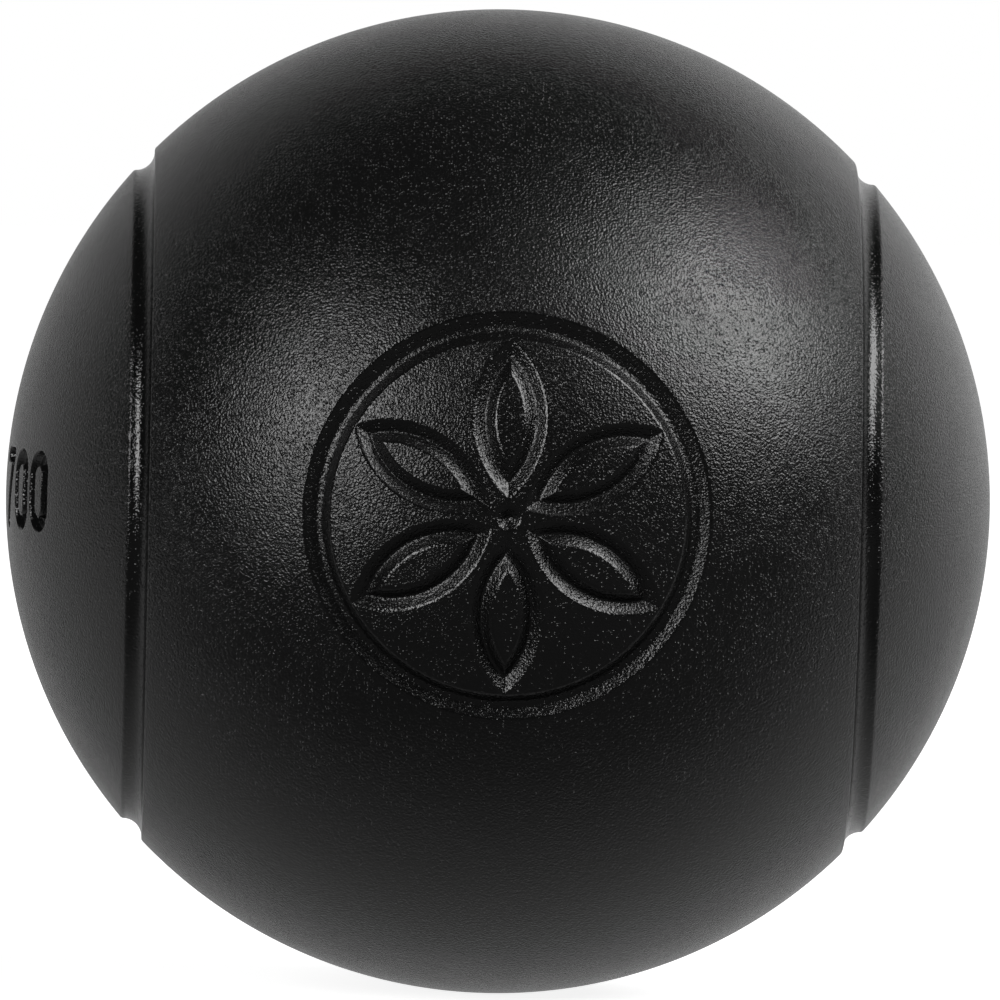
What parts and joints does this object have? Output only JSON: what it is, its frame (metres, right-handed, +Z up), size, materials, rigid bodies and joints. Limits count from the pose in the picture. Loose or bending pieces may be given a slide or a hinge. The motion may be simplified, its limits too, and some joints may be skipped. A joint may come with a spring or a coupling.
{
  "type": "petanque boule",
  "caption": "Hollow black steel petanque boule: welded half shells turned to a ball with parallel grooves either side of a broad plain band.",
  "frame": {"origin": "middle of the ball", "axes": "+X along the common axis of the two grooves, +Z up as in the picture, -Y from the middle towards the viewer and the front shell; the weld plane is XZ"},
  "size_m": [0.074, 0.074, 0.074],
  "materials": {
    "shell_steel": "satin black over fine blasted steel",
    "weld_steel": "satin black, dressed flush with the shells"
  },
  "bodies": {
    "root": {"front_half_shell": "shell_steel", "rear_half_shell": "shell_steel", "weld_bead": "weld_steel"}
  },
  "joints": []
}
